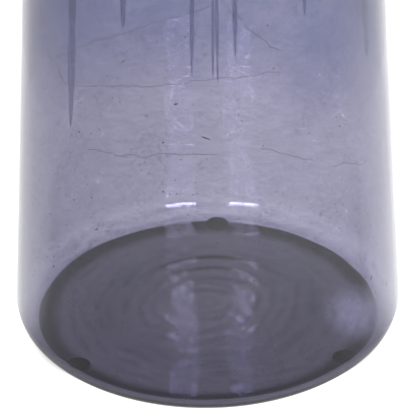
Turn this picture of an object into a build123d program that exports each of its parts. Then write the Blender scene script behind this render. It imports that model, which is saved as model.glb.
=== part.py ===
from build123d import *
from math import cos, radians, sin
import os

# A hand-blown glass vase that stands on three stick-on bumpers. The wall leans in a little towards
# an open mouth, a wide round heel turns it into a flat foot, and the middle of the base is pushed
# up into a shallow punt. The upper part is coated inside with a thin tinted lacquer.
# Millimetres. +Z is up, and the origin is on the axis, in the plane that the bumpers stand on.

# Driving dimensions
overall_height = 300.0
largest_diameter = 180.0  # round the top of the heel
wall_lean = 3.2  # degrees that the wall leans in from upright
wall_thickness = 3.0
base_thickness = 3.8  # under the flat ring of the floor
heel_radius = 12.5
inner_heel_radius = 8.0
punt_radius = 47.5  # the ring where the underside starts to rise
punt_rise = 2.5  # at the middle of the underside
floor_dome_radius = 56.0
floor_dome_rise = 2.0
coat_thickness = 0.25
coat_bottom = 124.0  # height of the lowest run of lacquer
coat_rim_gap = 4.0  # bare glass left between the lacquer and the top of the rim
bumper_diameter = 11.0
bumper_thickness = 1.6
bumper_edge_radius = 0.4
bumper_circle_radius = 75.5
bumper_azimuths = {"foot_bumper_back": 86.0, "foot_bumper_left": 218.0, "foot_bumper_right": 325.0}

# Heights and places worked out from them
foot_height = bumper_thickness
lean = radians(wall_lean)
heel_centre = (largest_diameter / 2 - heel_radius, foot_height + heel_radius)
floor_height = foot_height + base_thickness
rim_radius = wall_thickness / 2


def wall_radius(inset, height):
    """Radius, at a height, of a cone that lies inset from the outer face of the wall."""
    reach = heel_centre[0] * cos(lean) + heel_centre[1] * sin(lean) + heel_radius - inset
    return (reach - height * sin(lean)) / cos(lean)


def dome(radius, edge_height, rise):
    """Arc from the axis to a radius, for a shallow dome that ends at edge_height."""
    curvature_radius = (radius**2 + rise**2) / (2 * rise)
    return RadiusArc((0, edge_height + rise), (radius, edge_height), curvature_radius)


def corner_arc(centre, radius):
    """Round corner between a flat floor and the leaning wall."""
    return CenterArc(centre, radius, -90, 90 + wall_lean)


def rim_arc():
    """Fire-polished half-round rim, from the outer face of the wall over to the inner one."""
    middle_height = overall_height - rim_radius
    centre = (wall_radius(rim_radius, middle_height), middle_height)
    return CenterArc(centre, rim_radius, wall_lean, 180)


def turned(edges):
    """Solid turned about the axis from a closed outline of radius against height."""
    return revolve(Plane.XZ * make_face(Wire(edges)), axis=Axis.Z)


def vase_body():
    """The blown glass, in one piece: foot, heel, wall and rim."""
    inner_centre_height = floor_height + inner_heel_radius
    inner_centre = (wall_radius(wall_thickness + inner_heel_radius, inner_centre_height), inner_centre_height)
    underside = dome(punt_radius, foot_height, punt_rise)
    heel = corner_arc(heel_centre, heel_radius)
    foot = Line(underside @ 1, heel @ 0)
    rim = rim_arc()
    outer_wall = Line(heel @ 1, rim @ 0)
    inner_heel = corner_arc(inner_centre, inner_heel_radius)
    inner_wall = Line(rim @ 1, inner_heel @ 1)
    floor_dome = dome(floor_dome_radius, floor_height, floor_dome_rise)
    floor = Line(inner_heel @ 0, floor_dome @ 1)
    middle = Line(floor_dome @ 0, underside @ 0)
    return turned([underside, foot, heel, outer_wall, rim, inner_wall, inner_heel, floor, floor_dome, middle])


def tint_coat():
    """The skin of lacquer on the inside of the upper wall."""
    coat_top = overall_height - coat_rim_gap
    corners = [
        (wall_radius(wall_thickness, coat_bottom), coat_bottom),
        (wall_radius(wall_thickness, coat_top), coat_top),
        (wall_radius(wall_thickness + coat_thickness, coat_top), coat_top),
        (wall_radius(wall_thickness + coat_thickness, coat_bottom), coat_bottom),
    ]
    return turned(Polyline(*corners, close=True).edges())


def foot_bumper(azimuth):
    """Round rubber bumper stuck under the flat ring of the foot, with its lower edge rounded."""
    disc = extrude(Circle(bumper_diameter / 2), bumper_thickness)
    lower_edge = disc.edges().sort_by(Axis.Z)[0]
    rounded = fillet(lower_edge, bumper_edge_radius)
    return Rot(0, 0, azimuth) * Pos(bumper_circle_radius, 0, 0) * rounded


os.makedirs("parts", exist_ok=True)
export_step(vase_body(), "parts/vase_body.step")
export_step(tint_coat(), "parts/tint_coat.step")
for bumper_name, bumper_azimuth in bumper_azimuths.items():
    export_step(foot_bumper(bumper_azimuth), f"parts/{bumper_name}.step")
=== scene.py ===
import bpy
from math import cos, pi, radians, sin, sqrt
from mathutils import Matrix, Vector


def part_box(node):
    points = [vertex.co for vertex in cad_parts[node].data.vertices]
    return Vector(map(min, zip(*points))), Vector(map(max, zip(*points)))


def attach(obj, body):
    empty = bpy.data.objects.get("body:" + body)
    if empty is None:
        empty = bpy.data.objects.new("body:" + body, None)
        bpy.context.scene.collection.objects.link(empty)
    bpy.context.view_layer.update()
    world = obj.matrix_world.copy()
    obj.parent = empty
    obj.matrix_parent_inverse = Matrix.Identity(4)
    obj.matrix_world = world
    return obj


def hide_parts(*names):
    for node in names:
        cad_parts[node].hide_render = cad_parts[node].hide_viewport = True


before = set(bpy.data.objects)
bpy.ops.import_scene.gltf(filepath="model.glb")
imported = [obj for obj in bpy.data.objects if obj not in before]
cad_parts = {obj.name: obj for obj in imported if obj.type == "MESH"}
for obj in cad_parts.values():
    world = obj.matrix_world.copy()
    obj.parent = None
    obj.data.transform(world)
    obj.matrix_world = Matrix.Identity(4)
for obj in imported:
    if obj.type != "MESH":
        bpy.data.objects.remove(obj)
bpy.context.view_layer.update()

MM = 0.001

# The sizes of the vase, in metres, from the frame where it holds them
glass_low, glass_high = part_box("vase_body")
coat_low, coat_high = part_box("tint_coat")
HEEL_TOP_RADIUS = (glass_high.x - glass_low.x) / 2
FOOT_HEIGHT = glass_low.z
RIM_HEIGHT = glass_high.z
WALL_LEAN = radians(3.2)
WALL_THICKNESS = 3.0 * MM
BASE_THICKNESS = 3.8 * MM
HEEL_RADIUS = 12.5 * MM
INNER_HEEL_RADIUS = 8.0 * MM
PUNT_RADIUS = 47.5 * MM
PUNT_RISE = 2.5 * MM
FLOOR_DOME_RADIUS = 56.0 * MM
FLOOR_DOME_RISE = 2.0 * MM
FLOOR_HEIGHT = FOOT_HEIGHT + BASE_THICKNESS

# The hand of the blower: how far the faces wander, and over what length
RIPPLE_HEIGHT = 0.08 * MM
RIPPLE_LENGTH = 45.0 * MM
SWIRL_HEIGHT = 0.14 * MM
SWIRL_PITCH = 10.0 * MM
SWIRL_REACH = 52.0 * MM

# The lacquer skin and its runs, a hair inside the inner face of the wall
COAT_INSET = WALL_THICKNESS + 0.2 * MM
COAT_THICKNESS = 0.1 * MM
RUN_INSET = COAT_INSET + COAT_THICKNESS
RUN_THICKNESS = 0.35 * MM
HAIRLINE_INSET = RUN_INSET + 0.05 * MM
HAIRLINE_RADIUS = 0.1 * MM

# The table is painted in shade under the foot out to this radius
TABLE_SHADE_RADIUS = 79.5 * MM  # the part of the table that the foot keeps the light from

TURN_RADIUS = 50.0 * MM  # of the circle that an outline is swept along; the outline is drawn relative to it
WELD_DISTANCE = 0.002 * MM  # closes a swept outline at the axis
BASE_LIMIT = 10.0 * MM  # the swirl is only in faces lower than this

# Map Range nodes take, by number: 0 the value, 1 and 2 where it starts and ends, 3 and 4 what it gives there.
SMOOTH = {"interpolation_type": "SMOOTHSTEP"}


def linear(hex_colour, brightness=1.0):
    """Linear RGBA from an sRGB hex colour."""
    channels = [int(hex_colour[i:i + 2], 16) / 255 for i in (0, 2, 4)]
    channels = [c / 12.92 if c <= 0.04045 else ((c + 0.055) / 1.055) ** 2.4 for c in channels]
    return (*[c * brightness for c in channels], 1.0)


def add(tree, kind, inputs=None, **settings):
    """Adds a node with its settings. inputs gives an input its value, or the node or output that feeds it."""
    node = tree.nodes.new(kind)
    for name, value in settings.items():
        setattr(node, name, value)
    for name, value in (inputs or {}).items():
        if isinstance(value, bpy.types.Node):
            value = value.outputs[0]
        if isinstance(value, bpy.types.NodeSocket):
            tree.links.new(value, node.inputs[name])
        else:
            node.inputs[name].default_value = value
    return node


def shown(name, data):
    """A new object in the scene."""
    piece = bpy.data.objects.new(name, data)
    bpy.context.scene.collection.objects.link(piece)
    return piece


# --- Outlines, as (radius, height) points ---

def wall_radius(inset, height):
    """Radius, at a height, of a cone that lies inset from the outer face of the wall."""
    heel_x, heel_z = HEEL_TOP_RADIUS - HEEL_RADIUS, FOOT_HEIGHT + HEEL_RADIUS
    reach = heel_x * cos(WALL_LEAN) + heel_z * sin(WALL_LEAN) + HEEL_RADIUS - inset
    return (reach - height * sin(WALL_LEAN)) / cos(WALL_LEAN)


def arc(centre, radius, start, end, steps):
    angles = [start + (end - start) * i / steps for i in range(steps + 1)]
    return [(centre[0] + radius * cos(angle), centre[1] + radius * sin(angle)) for angle in angles]


def dome(radius, edge_height, rise, steps):
    """Shallow dome, from the axis out to its radius."""
    curvature = (radius ** 2 + rise ** 2) / (2 * rise)
    radii = [radius * i / steps for i in range(steps + 1)]
    return [(r, edge_height + rise - curvature + sqrt(curvature ** 2 - r ** 2)) for r in radii]


def between(start, end, steps):
    """Points on a straight line, without its ends."""
    parts = [i / steps for i in range(1, steps)]
    return [(start[0] + (end[0] - start[0]) * t, start[1] + (end[1] - start[1]) * t) for t in parts]


def glass_outline():
    """From the middle of the underside, out round the heel, up to the rim, and back down inside to the
    floor."""
    heel_centre = (HEEL_TOP_RADIUS - HEEL_RADIUS, FOOT_HEIGHT + HEEL_RADIUS)
    inner_height = FLOOR_HEIGHT + INNER_HEEL_RADIUS
    inner_centre = (wall_radius(WALL_THICKNESS + INNER_HEEL_RADIUS, inner_height), inner_height)
    rim_middle = RIM_HEIGHT - WALL_THICKNESS / 2
    rim_centre = (wall_radius(WALL_THICKNESS / 2, rim_middle), rim_middle)
    underside = dome(PUNT_RADIUS, FOOT_HEIGHT, PUNT_RISE, 32)
    heel = arc(heel_centre, HEEL_RADIUS, -pi / 2, WALL_LEAN, 24)
    rim = arc(rim_centre, WALL_THICKNESS / 2, WALL_LEAN, WALL_LEAN + pi, 10)
    inner_heel = arc(inner_centre, INNER_HEEL_RADIUS, WALL_LEAN, -pi / 2, 20)
    floor = dome(FLOOR_DOME_RADIUS, FLOOR_HEIGHT, FLOOR_DOME_RISE, 36)[::-1]
    foot = between(underside[-1], heel[0], 12)
    outer_wall = between(heel[-1], rim[0], 50)
    inner_wall = between(rim[-1], inner_heel[0], 50)
    return underside + foot + heel + outer_wall + rim + inner_wall + inner_heel + floor


def coat_outline():
    """A thin closed skin on the inside of the upper wall."""
    outer = [(wall_radius(COAT_INSET, coat_low.z), coat_low.z),
             (wall_radius(COAT_INSET, coat_high.z), coat_high.z)]
    inner = [(radius - COAT_THICKNESS, height) for radius, height in outer[::-1]]
    side = [outer[0], *between(*outer, 16), outer[1]]
    return side + [inner[0], *between(*inner, 16), inner[1], side[0]]


def mid_glass_outline():
    """Down the middle of the wall and across the middle of the base, where what is in the glass lies."""
    corner = wall_radius(WALL_THICKNESS / 2, FOOT_HEIGHT + HEEL_RADIUS) - HEEL_RADIUS + WALL_THICKNESS / 2
    bend = arc((corner, FOOT_HEIGHT + HEEL_RADIUS), HEEL_RADIUS - WALL_THICKNESS / 2, -pi / 2, WALL_LEAN, 8)
    top = (wall_radius(WALL_THICKNESS / 2, RIM_HEIGHT - 3 * MM), RIM_HEIGHT - 3 * MM)
    middle = FOOT_HEIGHT + BASE_THICKNESS / 2
    floor = [(0, middle + PUNT_RISE * 0.8), (PUNT_RADIUS * 0.6, middle + PUNT_RISE * 0.5),
             (PUNT_RADIUS, middle)]
    return floor + bend + between(bend[-1], top, 24) + [top]


# --- Geometry Nodes ---

def node_tree(name, *sockets):
    """Empty Geometry Nodes tree with a mesh in and out, a material, and named inputs for its sizes."""
    tree = bpy.data.node_groups.new(name, "GeometryNodeTree")
    tree.interface.new_socket("Geometry", in_out="INPUT", socket_type="NodeSocketGeometry")
    tree.interface.new_socket("Geometry", in_out="OUTPUT", socket_type="NodeSocketGeometry")
    tree.interface.new_socket("Material", in_out="INPUT", socket_type="NodeSocketMaterial")
    for socket in sockets:
        tree.interface.new_socket(socket, in_out="INPUT", socket_type="NodeSocketFloat")
    return tree, add(tree, "NodeGroupInput").outputs


def finish_tree(tree, geometry, material):
    """Ends a tree: real geometry, with its material."""
    real = add(tree, "GeometryNodeRealizeInstances", {"Geometry": geometry})
    painted = add(tree, "GeometryNodeSetMaterial", {"Geometry": real, "Material": material})
    add(tree, "NodeGroupOutput", {0: painted})


def grown(name, tree, vertices, edges, faces, material, **sizes):
    """The plain mesh that a node tree makes from a starting mesh."""
    start = bpy.data.meshes.new(name)
    start.from_pydata(vertices, edges, faces)
    seedling = shown(name + "_start", start)
    modifier = seedling.modifiers.new("grow", "NODES")
    modifier.node_group = tree
    values = {"Material": material, **{key.replace("_", " "): value for key, value in sizes.items()}}
    for socket in tree.interface.items_tree:
        if socket.in_out == "INPUT" and socket.name in values:
            modifier[socket.identifier] = values[socket.name]
    mesh = bpy.data.meshes.new_from_object(seedling.evaluated_get(bpy.context.evaluated_depsgraph_get()))
    bpy.data.objects.remove(seedling)
    mesh.materials.clear()
    mesh.materials.append(material)
    mesh.polygons.foreach_set("material_index", [0] * len(mesh.polygons))
    return shown(name, mesh)


def turning_tree():
    """Turns an outline about the axis, then lets its faces wander and winds a swirl into its base."""
    tree, given = node_tree("turned_on_the_iron", "Steps", "Ripple Height", "Ripple Length", "Swirl Height",
                            "Swirl Pitch", "Swirl Reach")
    outline = add(tree, "GeometryNodeMeshToCurve", {"Mesh": given["Geometry"]})
    circle = add(tree, "GeometryNodeCurvePrimitiveCircle", {"Resolution": given["Steps"],
                                                            "Radius": TURN_RADIUS})
    swept = add(tree, "GeometryNodeCurveToMesh", {"Curve": circle, "Profile Curve": outline})
    welded = add(tree, "GeometryNodeMergeByDistance", {"Geometry": swept, "Distance": WELD_DISTANCE})
    outward = add(tree, "GeometryNodeFlipFaces", {"Mesh": welded})
    smooth = add(tree, "GeometryNodeSetShadeSmooth", {0: outward})
    place = add(tree, "GeometryNodeInputPosition")
    x, y, z = add(tree, "ShaderNodeSeparateXYZ", {0: place}).outputs

    # Ripples, along the normal and off the foot, so that the vase stands flat
    scale = add(tree, "ShaderNodeMath", {0: 1.0, 1: given["Ripple Length"]}, operation="DIVIDE")
    bumps = add(tree, "ShaderNodeTexNoise", {"Vector": place, "Scale": scale, "Detail": 1.0})
    ripple = add(tree, "ShaderNodeMath", {0: bumps, 1: 2.0, 2: -1.0}, operation="MULTIPLY_ADD")
    off_foot = add(tree, "ShaderNodeMapRange", {0: z, 1: FOOT_HEIGHT + 0.2 * MM, 2: FOOT_HEIGHT + 3 * MM},
                   **SMOOTH)
    for factor in (given["Ripple Height"], off_foot):
        ripple = add(tree, "ShaderNodeMath", {0: ripple, 1: factor}, operation="MULTIPLY")
    normal = add(tree, "GeometryNodeInputNormal")
    ripples = add(tree, "ShaderNodeVectorMath", {0: normal, "Scale": ripple}, operation="SCALE")

    # Swirl, a spiral wave in the base only, which dies away at the axis and at its reach
    flat = add(tree, "ShaderNodeCombineXYZ", {"X": x, "Y": y})
    radius = add(tree, "ShaderNodeVectorMath", {0: flat}, operation="LENGTH").outputs["Value"]
    turns = add(tree, "ShaderNodeMath", {0: radius, 1: given["Swirl Pitch"]}, operation="DIVIDE")
    angle = add(tree, "ShaderNodeMath", {0: y, 1: x}, operation="ARCTAN2")
    phase = add(tree, "ShaderNodeMath", {0: turns, 1: 2 * pi, 2: angle}, operation="MULTIPLY_ADD")
    swirl = add(tree, "ShaderNodeMath", {0: phase}, operation="SINE")
    in_base = add(tree, "ShaderNodeMath", {0: z, 1: BASE_LIMIT}, operation="LESS_THAN")
    full = add(tree, "ShaderNodeMath", {0: given["Swirl Reach"], 1: 0.8}, operation="MULTIPLY")
    outer_fade = add(tree, "ShaderNodeMapRange", {0: radius, 1: given["Swirl Reach"], 2: full}, **SMOOTH)
    inner_fade = add(tree, "ShaderNodeMapRange", {0: radius, 1: 0, 2: 5 * MM}, **SMOOTH)
    for factor in (given["Swirl Height"], in_base, outer_fade, inner_fade):
        swirl = add(tree, "ShaderNodeMath", {0: swirl, 1: factor}, operation="MULTIPLY")
    lift = add(tree, "ShaderNodeCombineXYZ", {"Z": swirl})

    offset = add(tree, "ShaderNodeVectorMath", {0: ripples, 1: lift}, operation="ADD")
    moved = add(tree, "GeometryNodeSetPosition", {"Geometry": smooth, "Offset": offset})
    finish_tree(tree, moved, given["Material"])
    return tree


def scatter_tree():
    """Scatters small rounded grains over a surface, more thinly towards the top."""
    tree, given = node_tree("scattered_grains", "Density", "Thin Out", "Seed", "Grain Low", "Grain High",
                            "Stretch",
                            "Depth")
    place = add(tree, "GeometryNodeInputPosition")
    height = add(tree, "ShaderNodeSeparateXYZ", {0: place}).outputs["Z"]
    share = add(tree, "ShaderNodeMapRange", {0: height, 1: 5 * MM, 2: 200 * MM, 3: 1.0, 4: given["Thin Out"]},
                **SMOOTH)
    density = add(tree, "ShaderNodeMath", {0: given["Density"], 1: share}, operation="MULTIPLY")
    points = add(tree, "GeometryNodeDistributePointsOnFaces",
                 {"Mesh": given["Geometry"], "Density": density, "Seed": given["Seed"]})
    sideways = add(tree, "FunctionNodeRandomValue", {2: -1.0, 3: 1.0, "Seed": 11},
                   data_type="FLOAT").outputs[1]
    depth = add(tree, "ShaderNodeMath", {0: sideways, 1: given["Depth"]}, operation="MULTIPLY")
    offset = add(tree, "ShaderNodeVectorMath", {0: points.outputs["Normal"], "Scale": depth},
                 operation="SCALE")
    placed = add(tree, "GeometryNodeSetPosition", {"Geometry": points, "Offset": offset})
    grain = add(tree, "GeometryNodeMeshIcoSphere", {"Radius": 1.0, "Subdivisions": 1})
    smooth = add(tree, "GeometryNodeSetShadeSmooth", {0: grain})
    sizes = {2: given["Grain Low"], 3: given["Grain High"], "Seed": 5}
    size = add(tree, "FunctionNodeRandomValue", sizes, data_type="FLOAT").outputs[1]
    longer = add(tree, "ShaderNodeMath", {0: size, 1: given["Stretch"]}, operation="MULTIPLY")
    shape = add(tree, "ShaderNodeCombineXYZ", {"X": size, "Y": longer, "Z": size})
    grains = add(tree, "GeometryNodeInstanceOnPoints",
                 {"Points": placed, "Instance": smooth, "Rotation": points.outputs["Rotation"],
                  "Scale": shape})
    finish_tree(tree, grains, given["Material"])
    return tree


def hairline_tree():
    """Draws fine threads along lines, with a small wander of their own."""
    tree, given = node_tree("fine_threads", "Thread Radius", "Wander", "Wander Length")
    curve = add(tree, "GeometryNodeMeshToCurve", {"Mesh": given["Geometry"]})
    fine = add(tree, "GeometryNodeResampleCurve", {"Curve": curve, "Length": 1.2 * MM}, mode="LENGTH")
    scale = add(tree, "ShaderNodeMath", {0: 1.0, 1: given["Wander Length"]}, operation="DIVIDE")
    place = add(tree, "GeometryNodeInputPosition")
    wander = add(tree, "ShaderNodeTexNoise", {"Vector": place, "Scale": scale,
                                              "Detail": 2.0}).outputs["Color"]
    middled = add(tree, "ShaderNodeVectorMath", {0: wander, 1: (0.5, 0.5, 0.5)}, operation="SUBTRACT")
    offset = add(tree, "ShaderNodeVectorMath", {0: middled, "Scale": given["Wander"]}, operation="SCALE")
    bent = add(tree, "GeometryNodeSetPosition", {"Geometry": fine, "Offset": offset})
    ring = add(tree, "GeometryNodeCurvePrimitiveCircle", {"Resolution": 6, "Radius": given["Thread Radius"]})
    tube = add(tree, "GeometryNodeCurveToMesh", {"Curve": bent, "Profile Curve": ring, "Fill Caps": True})
    finish_tree(tree, tube, given["Material"])
    return tree


def turned(name, outline, material, steps, closed=False, **sizes):
    """A surface turned about the axis from an outline."""
    vertices = [(radius - TURN_RADIUS, -height, 0) for radius, height in outline]
    edges = [(i, i + 1) for i in range(len(outline) - 1)]
    if closed:
        vertices.pop()
        edges[-1] = (len(vertices) - 1, 0)
    return grown(name, turning, vertices, edges, [], material, Steps=steps, **sizes)


def on_wall(inset, azimuth, height):
    """The point at an azimuth in degrees and a height in millimetres, inset from the outer face of the
    wall."""
    radius = wall_radius(inset, height * MM)
    return Vector((radius * cos(radians(azimuth)), radius * sin(radians(azimuth)), height * MM))


# --- Pieces ---

# Runs of lacquer: azimuth in degrees, height of the tip and width at the top in millimetres
RUNS = ((-136.3, 134, 5.6), (-116.3, 190, 4.4), (-94.0, 172, 2.4), (-87.4, 170, 1.8), (-85.7, 168, 1.9),
        (-80.0, 180, 2.6), (-56.6, 193, 3.4), (-27.6, 156, 7.5), (14, 187, 4.4), (52, 160, 3.0),
        (78, 176, 5.2),
        (121, 152, 2.8), (163, 183, 4.8), (196, 166, 3.0))


def lacquer_runs(material):
    """Flat ridges of lacquer that ran down the inside of the wall, each with a long tapering tip."""
    vertices, faces = [], []
    section, rows = 8, 40
    top = coat_high.z / MM - 6
    for azimuth, tip, width in RUNS:
        first = len(vertices)
        for row in range(rows + 1):
            along = row / rows
            height = top + (tip - top) * along
            ragged = 0.84 + 0.1 * sin(23 * along + azimuth) + 0.06 * sin(61 * along)
            taper = sqrt(max(1 - along ** 7, 0.0)) * ragged
            half = max(width / 2 * taper, 0.02) * MM
            middle = on_wall(RUN_INSET, azimuth + 0.35 * sin(3 * along + azimuth), height)
            inward = Vector((-middle.x, -middle.y, 0)).normalized()
            sideways = Vector((0, 0, 1)).cross(inward)
            for i in range(section):
                angle = 2 * pi * i / section
                bulge = RUN_THICKNESS * taper * (1 + sin(angle)) / 2
                vertices.append(middle + sideways * half * cos(angle) + inward * bulge)
        for row in range(rows):
            for i in range(section):
                a, b = first + row * section + i, first + row * section + (i + 1) % section
                faces.append((a, b, b + section, a + section))
        faces.append(tuple(first + i for i in range(section))[::-1])
        faces.append(tuple(first + rows * section + i for i in range(section)))
    mesh = bpy.data.meshes.new("lacquer_runs")
    mesh.from_pydata(vertices, [], faces)
    mesh.shade_smooth()
    mesh.materials.append(material)
    return shown("lacquer_runs", mesh)


# Hairlines in the lacquer, each as points of azimuth in degrees and height in millimetres
HAIRLINES = (
    ((-149, 165), (-146, 162), (-140, 154), (-129, 158), (-120, 162), (-108, 165), (-102, 167), (-90, 170),
     (-82, 170.5), (-74, 170), (-66, 170.5)),
    ((-145, 163), (-137, 171), (-126, 182), (-114, 190), (-104, 197), (-93, 202), (-88, 205)),
    ((-85, 208), (-81, 201), (-75, 192), (-69, 183), (-66, 181)),
    ((-165, 110), (-157, 112), (-149, 118)),
    ((-160, 127), (-152, 131)),
    ((-129, 128), (-119, 129), (-110, 131), (-101, 134), (-87, 134)),
    ((-73, 136), (-64, 129), (-54, 122)),
    ((-47, 115), (-41, 113), (-35, 108), (-29, 107)),
    ((20, 140), (34, 151), (47, 149), (60, 158)),
    ((80, 130), (97, 136), (112, 131), (126, 142)),
    ((150, 176), (163, 170), (178, 183), (190, 180)),
)
# Hairlines over the floor, as points of x and y in millimetres
FLOOR_HAIRLINES = (((22, -12), (27, -26), (31, -45), (35, -61)),
                   ((-57, 14), (-54, 9), (-50, -15), (-45, -27)))


def coat_hairlines(material):
    """The hairlines as threads, along the lacquer and level with the top of the domed floor."""
    lines = [[on_wall(HAIRLINE_INSET, *point) for point in line] for line in HAIRLINES]
    above_floor = FLOOR_HEIGHT + FLOOR_DOME_RISE
    lines += [[Vector((x * MM, y * MM, above_floor)) for x, y in line] for line in FLOOR_HAIRLINES]
    vertices, edges = [], []
    for line in lines:
        edges += [(len(vertices) + i, len(vertices) + i + 1) for i in range(len(line) - 1)]
        vertices += line
    return grown("coat_hairlines", hairline_tree(), vertices, edges, [], material,
                 Thread_Radius=HAIRLINE_RADIUS,
                 Wander=4.0 * MM, Wander_Length=5 * MM)


# Single larger flecks in the glass: azimuth in degrees, height, length and thickness in millimetres, slant
# in degrees
FLECKS = ((-99, 159, 1.6, 0.9, 20), (-90, 143, 4.4, 0.5, -22), (-103, 140, 1.0, 0.6, 40),
          (-132, 135, 0.8, 0.6, 0),
          (-103, 116, 0.8, 0.6, 0), (-101, 115, 0.7, 0.5, 0), (-99, 115.5, 0.7, 0.5, 0),
          (-94, 115.5, 0.7, 0.5, 0),
          (-92.8, 116, 0.6, 0.5, 0), (-134, 100, 0.8, 0.6, 0), (-127, 105, 0.8, 0.6, 0),
          (-125, 90, 2.6, 0.5, 35),
          (-143, 60, 1.4, 0.6, 70), (-32, 48, 2.6, 0.7, 60), (-22, 36, 2.4, 0.7, 50), (40, 70, 1.6, 0.6, 20),
          (118, 96, 2.2, 0.5, -30), (171, 52, 1.2, 0.7, 10))


def glass_flecks(material):
    """Small ragged spindles in the middle of the wall."""
    vertices, faces = [], []
    around, rows = 8, 6
    for azimuth, height, length, thickness, slant in FLECKS:
        middle = on_wall(WALL_THICKNESS / 2, azimuth, height)
        outward = Vector((middle.x, middle.y, 0)).normalized()
        sideways = Vector((0, 0, 1)).cross(outward)
        long = sideways * cos(radians(slant)) + Vector((0, 0, 1)) * sin(radians(slant))
        across = outward.cross(long)
        first = len(vertices)
        for row in range(1, rows):
            polar = pi * row / rows
            for i in range(around):
                angle = 2 * pi * i / around
                ragged = 1 + 0.25 * sin(3 * angle + row + azimuth)
                vertices.append(middle + (long * cos(polar) * length + sin(polar) * ragged * thickness
                                          * (across * cos(angle) + outward * sin(angle))) * MM / 2)
        vertices += [middle + long * length * MM / 2, middle - long * length * MM / 2]
        for i in range(around):
            j = (i + 1) % around
            faces.append((len(vertices) - 2, first + i, first + j))
            faces.append((len(vertices) - 1, first + (rows - 2) * around + j,
                          first + (rows - 2) * around + i))
            faces += [(first + row * around + i, first + (row + 1) * around + i,
                       first + (row + 1) * around + j,
                       first + row * around + j) for row in range(rows - 2)]
    mesh = bpy.data.meshes.new("glass_flecks")
    mesh.from_pydata(vertices, [], faces)
    mesh.shade_smooth()
    mesh.materials.append(material)
    return shown("glass_flecks", mesh)


# --- Materials ---

def material_tree(name):
    """A new material, its empty tree, and the object coordinates in it."""
    material = bpy.data.materials.new(name)
    material.use_nodes = True
    material.node_tree.nodes.clear()
    tree = material.node_tree
    return material, tree, add(tree, "ShaderNodeTexCoord").outputs["Object"]


def smoke_glass():
    """Hand-blown soda-lime glass with a smoke-violet body: clear and wet-looking, slightly dimpled by the
    blowing,
    with a bloom of dust and water marks that clouds it in patches."""
    material, tree, place = material_tree("blown_smoke_soda_lime_glass")

    # Bloom: dust grains 1.6 mm apart, in patches of 22 mm
    patches = add(tree, "ShaderNodeTexNoise", {"Vector": place, "Scale": 1 / (22 * MM), "Detail": 4})
    patches = add(tree, "ShaderNodeMapRange", {0: patches, 1: 0.35, 2: 0.7}, **SMOOTH)
    dust = add(tree, "ShaderNodeTexNoise", {"Vector": place, "Scale": 1 / (1.6 * MM), "Detail": 3})
    dust = add(tree, "ShaderNodeMapRange", {0: dust, 1: 0.4, 2: 0.75}, **SMOOTH)
    bloom = add(tree, "ShaderNodeMath", {0: patches, 1: dust}, operation="MULTIPLY")

    # Strokes: clouding 8 mm wide and a quarter as high, since the gather was turned while it was shaped
    around = add(tree, "ShaderNodeMapping", {"Vector": place, "Scale": (1, 1, 4)})
    strokes = add(tree, "ShaderNodeTexNoise",
                  {"Vector": around, "Scale": 1 / (8 * MM), "Detail": 5, "Roughness": 0.7})
    strokes = add(tree, "ShaderNodeMapRange", {0: strokes, 1: 0.3, 2: 0.7, 4: 0.42}, **SMOOTH)
    clouding = add(tree, "ShaderNodeMath", {0: bloom, 1: strokes}, operation="MAXIMUM")
    smoked = add(tree, "ShaderNodeMix", {0: clouding, 6: linear("ffffff"), 7: linear("dedbe3")},
                 data_type="RGBA")

    # Cords: darker glass 7 mm apart, wound about the axis, broken up, in the base only. The wave texture
    # repeats
    # every 2 pi / 20 at a scale of 1.
    gather = {"Vector": place, "Scale": 2 * pi / 20 / (7 * MM), "Distortion": 9.0, "Detail": 4.0,
              "Detail Scale": 0.8}
    cords = add(tree, "ShaderNodeTexWave", gather, wave_type="RINGS", rings_direction="Z").outputs["Fac"]
    cords = add(tree, "ShaderNodeMapRange", {0: cords, 1: 0.45, 2: 1.0}, **SMOOTH)
    broken = add(tree, "ShaderNodeTexNoise", {"Vector": place, "Scale": 1 / (14 * MM), "Detail": 3})
    broken = add(tree, "ShaderNodeMapRange", {0: broken, 1: 0.4, 2: 0.65}, **SMOOTH)
    height = add(tree, "ShaderNodeSeparateXYZ", {0: place}).outputs["Z"]
    in_base = add(tree, "ShaderNodeMapRange", {0: height, 1: 12 * MM, 2: 8 * MM}, **SMOOTH)
    for factor in (broken, in_base):
        cords = add(tree, "ShaderNodeMath", {0: cords, 1: factor}, operation="MULTIPLY")
    tint = add(tree, "ShaderNodeMix", {0: cords, 6: smoked.outputs[2], 7: linear("dbd8e2")}, data_type="RGBA")

    roughness = add(tree, "ShaderNodeMapRange", {0: bloom, 4: 0.04}, **SMOOTH)
    # Dimples 7 mm apart, the faint orange peel left by the cooling skin
    dimples = add(tree, "ShaderNodeTexNoise", {"Vector": place, "Scale": 1 / (7 * MM), "Detail": 1})
    bump = add(tree, "ShaderNodeBump", {"Height": dimples, "Strength": 0.04, "Distance": 0.05 * MM})
    glass = add(tree, "ShaderNodeBsdfPrincipled",
                {"Base Color": tint.outputs[2], "Roughness": roughness, "IOR": 1.5,
                 "Transmission Weight": 1.0,
                 "Normal": bump})
    body = add(tree, "ShaderNodeVolumeAbsorption", {"Color": linear("8985ac"), "Density": 300.0})
    add(tree, "ShaderNodeOutputMaterial", {"Surface": glass, "Volume": body})
    return material


def tinted_film(material, tree, density, deep, haze, bump):
    """Ends a lacquer's tree: light passes through tinted, and a little of it is scattered."""
    tint = add(tree, "ShaderNodeMix", {0: density, 6: linear("ffffff"), 7: deep}, data_type="RGBA").outputs[2]
    through = add(tree, "ShaderNodeBsdfTransparent", {"Color": tint})
    skin = add(tree, "ShaderNodeBsdfPrincipled", {"Base Color": deep, "Roughness": 0.3, "IOR": 1.48,
                                                  "Normal": bump})
    share = add(tree, "ShaderNodeMath", {0: density, 1: haze}, operation="MULTIPLY")
    film = add(tree, "ShaderNodeMixShader", {0: share, 1: through, 2: skin})
    add(tree, "ShaderNodeOutputMaterial", {"Surface": film})
    return material


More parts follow.
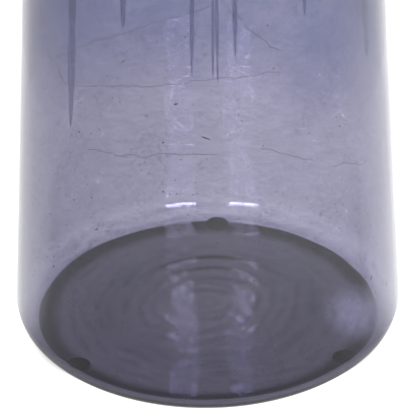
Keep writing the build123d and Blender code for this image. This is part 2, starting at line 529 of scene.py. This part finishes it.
def blue_lacquer():
    """Glass lacquer, flooded over the inside of the mouth: transparent blue-violet, cloudy where it pooled,
    thinning
    out to nothing at its lower edge."""
    material, tree, place = material_tree("flooded_blue_glass_lacquer")
    x, y, z = add(tree, "ShaderNodeSeparateXYZ", {0: place}).outputs

    # The lower edge hangs lowest at the two sides and highest at the front and back, and clouds 26 mm long
    # break it.
    clouds = add(tree, "ShaderNodeTexNoise", {"Vector": place, "Scale": 1 / (26 * MM), "Detail": 4})
    clouds = add(tree, "ShaderNodeMath", {0: clouds, 1: 0.5}, operation="SUBTRACT")
    off_sides = add(tree, "ShaderNodeMath", {0: y}, operation="ABSOLUTE")
    edge = add(tree, "ShaderNodeMath", {0: off_sides, 1: 0.85, 2: 92 * MM}, operation="MULTIPLY_ADD")
    edge = add(tree, "ShaderNodeMath", {0: clouds, 1: 46 * MM, 2: edge}, operation="MULTIPLY_ADD")
    above = add(tree, "ShaderNodeMath", {0: z, 1: edge}, operation="SUBTRACT")
    fade = add(tree, "ShaderNodeMapRange", {0: above, 1: -6 * MM, 2: 52 * MM}, **SMOOTH)

    # Depth of colour: cloudy, with a fine 2.2 mm mottle
    cloudy = add(tree, "ShaderNodeMath", {0: clouds, 1: 1.1, 2: 0.62}, operation="MULTIPLY_ADD")
    mottle = add(tree, "ShaderNodeTexNoise", {"Vector": place, "Scale": 1 / (2.2 * MM), "Detail": 3})
    mottle = add(tree, "ShaderNodeMath", {0: mottle, 1: 0.5}, operation="SUBTRACT")
    depth = add(tree, "ShaderNodeMath", {0: mottle, 1: 0.35, 2: cloudy}, operation="MULTIPLY_ADD")
    flooded = add(tree, "ShaderNodeMath", {0: fade, 1: depth}, operation="MULTIPLY")

    # One pool on the right of the front, with a ragged edge
    pool_middle = on_wall(COAT_INSET, -53, 165)
    away = add(tree, "ShaderNodeVectorMath", {0: place, 1: pool_middle},
               operation="DISTANCE").outputs["Value"]
    ragged = add(tree, "ShaderNodeTexNoise", {"Vector": place, "Scale": 1 / (7 * MM), "Detail": 5,
                                              "Roughness": 0.7})
    ragged = add(tree, "ShaderNodeMath", {0: ragged, 1: 1.6, 2: 0.5}, operation="MULTIPLY_ADD")
    away = add(tree, "ShaderNodeMath", {0: away, 1: ragged}, operation="MULTIPLY")
    pool = add(tree, "ShaderNodeMapRange", {0: away, 1: 38 * MM, 2: 8 * MM, 4: 0.22}, **SMOOTH)
    density = add(tree, "ShaderNodeMath", {0: flooded, 1: pool}, operation="ADD", use_clamp=True)

    bump = add(tree, "ShaderNodeBump", {"Height": clouds, "Strength": 0.3, "Distance": 0.1 * MM})
    return tinted_film(material, tree, density, linear("cfd6e9"), 0.05, bump)


def run_lacquer():
    """The same lacquer where it ran and dried thick: a deeper slate blue with streaks along the run."""
    material, tree, place = material_tree("dried_lacquer_run")
    # Streaks 1.1 mm wide, drawn out eight times as long
    drawn_out = add(tree, "ShaderNodeMapping", {"Vector": place, "Scale": (1, 1, 0.12)})
    streaks = add(tree, "ShaderNodeTexNoise", {"Vector": drawn_out, "Scale": 1 / (1.1 * MM), "Detail": 3})
    streaks = add(tree, "ShaderNodeMapRange", {0: streaks, 1: 0.3, 2: 0.7, 3: 0.4, 4: 1.0}, **SMOOTH)
    height = add(tree, "ShaderNodeSeparateXYZ", {0: place}).outputs["Z"]
    thinned = add(tree, "ShaderNodeMapRange", {0: height, 1: 130 * MM, 2: 215 * MM, 3: 0.75, 4: 1.0},
                  **SMOOTH)
    density = add(tree, "ShaderNodeMath", {0: streaks, 1: thinned}, operation="MULTIPLY")
    bump = add(tree, "ShaderNodeBump", {"Height": streaks, "Strength": 0.4, "Distance": 0.1 * MM})
    return tinted_film(material, tree, density, linear("c3c9da"), 0.06, bump)


def hairline_brown():
    """Dried-out resin threads in the lacquer: dull brown, thinner in places so that they break up."""
    material, tree, place = material_tree("dried_resin_thread")
    density = add(tree, "ShaderNodeTexNoise", {"Vector": place, "Scale": 1 / (6 * MM), "Detail": 3})
    density = add(tree, "ShaderNodeMapRange", {0: density, 1: 0.3, 2: 0.65, 3: 0.35, 4: 1.0}, **SMOOTH)
    bump = add(tree, "ShaderNodeBump", {"Height": density, "Strength": 0.3, "Distance": 0.05 * MM})
    return tinted_film(material, tree, density, linear("96857e"), 0.35, bump)


def ash_brown():
    """Specks of furnace ash and refractory caught in the glass: nearly black, matt, brown where they are
    thin."""
    material, tree, place = material_tree("furnace_ash_speck")
    thin = add(tree, "ShaderNodeTexNoise", {"Vector": place, "Scale": 1 / (0.6 * MM), "Detail": 2})
    thin = add(tree, "ShaderNodeMapRange", {0: thin, 1: 0.35, 2: 0.65}, **SMOOTH)
    colour = add(tree, "ShaderNodeMix", {0: thin, 6: linear("15131a"), 7: linear("41362f")}, data_type="RGBA")
    bump = add(tree, "ShaderNodeBump", {"Height": thin, "Strength": 0.5, "Distance": 0.05 * MM})
    ash = add(tree, "ShaderNodeBsdfPrincipled", {"Base Color": colour.outputs[2], "Roughness": 0.8,
                                                 "Normal": bump})
    add(tree, "ShaderNodeOutputMaterial", {"Surface": ash})
    return material


def seed_glass():
    """Air seeds in the glass: tiny bright lenses with a dark rim, some a little dull."""
    material, tree, place = material_tree("air_seed")
    dull = add(tree, "ShaderNodeTexNoise", {"Vector": place, "Scale": 1 / (4 * MM), "Detail": 2})
    dull = add(tree, "ShaderNodeMapRange", {0: dull, 1: 0.3, 2: 0.7, 4: 0.12}, **SMOOTH)
    seed = add(tree, "ShaderNodeBsdfPrincipled", {"Roughness": dull, "IOR": 1.45, "Transmission Weight": 1.0})
    add(tree, "ShaderNodeOutputMaterial", {"Surface": seed})
    return material


def bumper_rubber():
    """Moulded rubber: matt, almost black, with a fine half-millimetre grain and grey dust rubbed into it."""
    material, tree, place = material_tree("moulded_black_rubber")
    grain = add(tree, "ShaderNodeTexNoise", {"Vector": place, "Scale": 1 / (0.5 * MM), "Detail": 4})
    dust = add(tree, "ShaderNodeTexNoise", {"Vector": place, "Scale": 1 / (3 * MM), "Detail": 5,
                                            "Roughness": 0.65})
    dust = add(tree, "ShaderNodeMapRange", {0: dust, 1: 0.5, 2: 0.75}, **SMOOTH)
    colour = add(tree, "ShaderNodeMix", {0: dust, 6: linear("0d0c0a"), 7: linear("2a2822")}, data_type="RGBA")
    roughness = add(tree, "ShaderNodeMapRange", {0: dust, 3: 0.5, 4: 0.8}, **SMOOTH)
    bump = add(tree, "ShaderNodeBump", {"Height": grain, "Strength": 0.4, "Distance": 0.1 * MM})
    rubber = add(tree, "ShaderNodeBsdfPrincipled",
                 {"Base Color": colour.outputs[2], "Roughness": roughness, "Normal": bump, "IOR": 1.5})
    add(tree, "ShaderNodeOutputMaterial", {"Surface": rubber})
    return material


# --- Stage ---

def studio():
    """White surroundings, a little brighter to the right and dimmer beyond the vase, so that the base stays
    dark."""
    scene = bpy.context.scene
    scene.view_settings.view_transform = "Standard"
    scene.cycles.sample_clamp_indirect = 0.0  # keeps the windows bright in the glass
    scene.cycles.max_bounces = 32
    scene.cycles.transmission_bounces = 32
    scene.cycles.glossy_bounces = 16
    scene.cycles.transparent_max_bounces = 32
    world = bpy.data.worlds.new("white_studio")
    scene.world = world
    world.use_nodes = True
    tree = world.node_tree
    tree.nodes.clear()
    direction = add(tree, "ShaderNodeTexCoord").outputs["Generated"]
    across, away, up = add(tree, "ShaderNodeSeparateXYZ", {0: direction}).outputs
    side = add(tree, "ShaderNodeMapRange", {0: across, 1: -0.6, 2: 0.9, 3: 1.35, 4: 1.5}, **SMOOTH)
    beyond = add(tree, "ShaderNodeMapRange", {0: away, 1: 0.45, 2: 0.9, 3: 1.0, 4: 0.4}, **SMOOTH)
    strength = add(tree, "ShaderNodeMath", {0: side, 1: beyond}, operation="MULTIPLY")
    sky = add(tree, "ShaderNodeBackground", {"Color": linear("ffffff"), "Strength": strength})
    add(tree, "ShaderNodeOutputWorld", {"Surface": sky})


def table_light(tree, place):
    """Brightness of the table, which rises from left to right."""
    x = add(tree, "ShaderNodeSeparateXYZ", {0: place}).outputs["X"]
    return add(tree, "ShaderNodeMapRange", {0: x, 1: -90 * MM, 2: 90 * MM, 3: 1.3, 4: 1.62}, **SMOOTH)


def light_table():
    """White table, lit from within, so that nothing on it throws a shadow. The disc that the vase stands on
    has painted shade,
    darkest in a ring under the edge of the foot, and a painted patch of light spilling in from the right."""
    reach = 6.0
    corners = [(-reach, -reach, 0), (reach, -reach, 0), (reach, reach, 0), (-reach, reach, 0)]
    mesh = bpy.data.meshes.new("floor")
    mesh.from_pydata(corners, [], [(0, 1, 2, 3)])
    floor = shown("floor", mesh)
    material, tree, place = material_tree("opal_light_table")
    squeezed = add(tree, "ShaderNodeMapping", {"Vector": place, "Scale": (0.975, 1, 1)})
    away = add(tree, "ShaderNodeVectorMath", {0: squeezed}, operation="LENGTH").outputs["Value"]

    # The painted shade has a crisp edge at the front and back and a soft one at the two sides, under the
    # bulge of the heel.
    x = add(tree, "ShaderNodeSeparateXYZ", {0: place}).outputs["X"]
    off_middle = add(tree, "ShaderNodeMath", {0: x}, operation="ABSOLUTE")
    soft = add(tree, "ShaderNodeMapRange", {0: off_middle, 1: 55 * MM, 2: 78 * MM}, **SMOOTH)
    crisp_low, crisp_high = TABLE_SHADE_RADIUS - 1.2 * MM, TABLE_SHADE_RADIUS + 0.8 * MM
    edge_low = add(tree, "ShaderNodeMath", {0: soft, 1: -3 * MM, 2: crisp_low}, operation="MULTIPLY_ADD")
    edge_high = add(tree, "ShaderNodeMath", {0: soft, 1: 8 * MM, 2: crisp_high}, operation="MULTIPLY_ADD")
    outside = add(tree, "ShaderNodeMapRange", {0: away, 1: edge_low, 2: edge_high}, **SMOOTH)

    # Painted shade, darkest in a ring under the edge of the foot, then a painted patch of light from the
    # right
    rim = add(tree, "ShaderNodeMapRange", {0: away, 1: 66 * MM, 2: 74 * MM}, **SMOOTH)
    dim = add(tree, "ShaderNodeMix", {0: rim, 6: linear("b5b3b5"), 7: linear("3f3c42")}, data_type="RGBA")
    spill_x, spill_y, narrowing = 70 * MM, -4 * MM, 1.6
    from_spill = add(tree, "ShaderNodeMapping", {"Vector": place,
                                                 "Location": (-spill_x * narrowing, -spill_y, 0),
                                                 "Scale": (narrowing, 1, 1)})
    spill = add(tree, "ShaderNodeVectorMath", {0: from_spill}, operation="LENGTH").outputs["Value"]
    spill = add(tree, "ShaderNodeMapRange", {0: spill, 1: 30 * MM, 2: 4 * MM, 4: 0.95}, **SMOOTH)
    dim = add(tree, "ShaderNodeMix", {0: spill, 6: dim.outputs[2], 7: linear("f8f6ff", 1.6)},
              data_type="RGBA")

    nearer = add(tree, "ShaderNodeMapRange", {0: away, 1: 120 * MM, 2: 450 * MM, 3: 1.05, 4: 0.9}, **SMOOTH)
    lit = add(tree, "ShaderNodeMath", {0: table_light(tree, place), 1: nearer}, operation="MULTIPLY")
    glow = add(tree, "ShaderNodeCombineXYZ", {"X": lit, "Y": lit, "Z": lit})
    shade = add(tree, "ShaderNodeMix", {0: outside, 6: dim.outputs[2], 7: glow}, data_type="RGBA")
    table = add(tree, "ShaderNodeEmission", {"Color": shade.outputs[2], "Strength": 1.0})
    add(tree, "ShaderNodeOutputMaterial", {"Surface": table})
    mesh.materials.append(material)


def foot_shade():
    """Ring round the foot with painted shade, where the table is less bright in front. Only the glass sees
    it, not the camera.
    """
    inner, outer, above_table, steps, rows = TABLE_SHADE_RADIUS, 320 * MM, 0.05 * MM, 96, 4
    radii = [inner + (outer - inner) * row / rows for row in range(rows + 1)]
    turns = [2 * pi * i / steps for i in range(steps)]
    vertices = [(radius * cos(turn), radius * sin(turn), above_table) for radius in radii for turn in turns]
    faces = []
    for row in range(rows):
        for i in range(steps):
            a, b = row * steps + i, row * steps + (i + 1) % steps
            faces.append((a, a + steps, b + steps, b))
    mesh = bpy.data.meshes.new("foot_shade")
    mesh.from_pydata(vertices, [], faces)
    ring = shown("foot_shade", mesh)
    ring.visible_camera = False
    material, tree, place = material_tree("shaded_light_table")
    away = add(tree, "ShaderNodeVectorMath", {0: place}, operation="LENGTH").outputs["Value"]
    # Painted shade: dimmest next to the foot, fading out towards the outer edge, and only in front
    shaded = add(tree, "ShaderNodeMapRange", {0: away, 1: inner, 2: outer, 3: 0.38, 4: 1.0}, **SMOOTH)
    y = add(tree, "ShaderNodeSeparateXYZ", {0: place}).outputs["Y"]
    behind = add(tree, "ShaderNodeMapRange", {0: y, 1: -70 * MM, 2: 15 * MM}, **SMOOTH)
    shaded = add(tree, "ShaderNodeMath", {0: behind, 1: shaded}, operation="MAXIMUM")
    glow = add(tree, "ShaderNodeMath", {0: table_light(tree, place), 1: shaded}, operation="MULTIPLY")
    shade = add(tree, "ShaderNodeEmission", {"Color": linear("ffffff"), "Strength": glow})
    add(tree, "ShaderNodeOutputMaterial", {"Surface": shade})
    mesh.materials.append(material)


def windows():
    """Two windows of small panes, high behind the camera. Their azimuths, heights and pane sizes are in
    degrees."""
    distance, radiance, clear_share = 3.0, 80.0, 0.88
    low, pane_height, columns, rows = 24.0, 8.0, 2, 3
    for side, first, last in (("left", -33.5, -14.6), ("right", 7.0, 28.0)):
        pane_width = (last - first) / columns
        for column in range(columns):
            for row in range(rows):
                azimuth = radians(first + pane_width * (column + 0.5))
                elevation = radians(low + pane_height * (row + 0.5))
                pane = bpy.data.lights.new(f"{side}_window_{column}_{row}", "AREA")
                pane.shape = "RECTANGLE"
                pane.size = distance * radians(pane_width) * cos(elevation) * clear_share
                pane.size_y = distance * radians(pane_height) * clear_share
                pane.energy = radiance * pi * pane.size * pane.size_y
                lamp = shown(pane.name, pane)
                lamp.location = distance * Vector((sin(azimuth) * cos(elevation),
                                                   -cos(azimuth) * cos(elevation),
                                                   sin(elevation)))
                lamp.rotation_mode = "QUATERNION"
                lamp.rotation_quaternion = lamp.location.to_track_quat("Z", "Y")
                lamp.visible_camera = False


def camera():
    """A long lens that looks down on the foot of the vase, so that the rim is out of view."""
    elevation, distance, roll = radians(31.41), 1.6, radians(-0.77)
    aim = Vector((0.55 * MM, 0, 57.8 * MM))
    back = Vector((0, -cos(elevation), sin(elevation)))
    right = Vector((1, 0, 0))
    up = back.cross(right)
    tilted = (right * cos(roll) + up * sin(roll), up * cos(roll) - right * sin(roll), back)
    data = bpy.data.cameras.new("camera")
    data.lens, data.sensor_width, data.clip_end = 298.6, 36.0, 50.0
    view = shown("camera", data)
    view.matrix_world = Matrix.Translation(aim + back * distance) @ Matrix(tilted).transposed().to_4x4()
    bpy.context.scene.camera = view


camera()
studio()
light_table()
foot_shade()
windows()

turning, scattering = turning_tree(), scatter_tree()
vase = turned("vase_glass", glass_outline(), smoke_glass(), 300, Ripple_Height=RIPPLE_HEIGHT,
              Ripple_Length=RIPPLE_LENGTH, Swirl_Height=SWIRL_HEIGHT, Swirl_Pitch=SWIRL_PITCH,
              Swirl_Reach=SWIRL_REACH)
coat = turned("lacquer_coat", coat_outline(), blue_lacquer(), 150, closed=True, Ripple_Height=0.0,
              Ripple_Length=RIPPLE_LENGTH, Swirl_Height=0.0, Swirl_Pitch=SWIRL_PITCH, Swirl_Reach=SWIRL_REACH)
runs = lacquer_runs(run_lacquer())
hairlines = coat_hairlines(hairline_brown())
middle = turned("mid_glass", mid_glass_outline(), None, 96, Ripple_Height=0.0, Ripple_Length=RIPPLE_LENGTH,
                Swirl_Height=0.0, Swirl_Pitch=SWIRL_PITCH, Swirl_Reach=SWIRL_REACH)
sheet = ([v.co.copy() for v in middle.data.vertices], [], [tuple(f.vertices) for f in middle.data.polygons])
bpy.data.objects.remove(middle)
ash = ash_brown()
seeds = grown("glass_seeds", scattering, *sheet, seed_glass(), Density=2600.0, Thin_Out=0.6, Seed=3,
              Grain_Low=0.15 * MM, Grain_High=0.42 * MM, Stretch=1.5, Depth=0.8 * MM)
specks = grown("glass_specks", scattering, *sheet, ash, Density=11500.0, Thin_Out=0.3, Seed=8,
               Grain_Low=0.1 * MM, Grain_High=0.29 * MM, Stretch=1.4, Depth=1.2 * MM)
flecks = glass_flecks(ash)

for piece, slot in ((vase, "smoke_glass"), (coat, "blue_lacquer"), (runs, "blue_lacquer"),
                    (hairlines, "blue_lacquer"),
                    (seeds, "smoke_glass"), (specks, "smoke_glass"), (flecks, "smoke_glass")):
    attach(piece, "root")
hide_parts("vase_body")
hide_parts("tint_coat")
rubber = bumper_rubber()
for node_name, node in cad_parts.items():
    if node_name.startswith("foot_bumper"):
        node.data.materials.clear()
        node.data.materials.append(rubber)
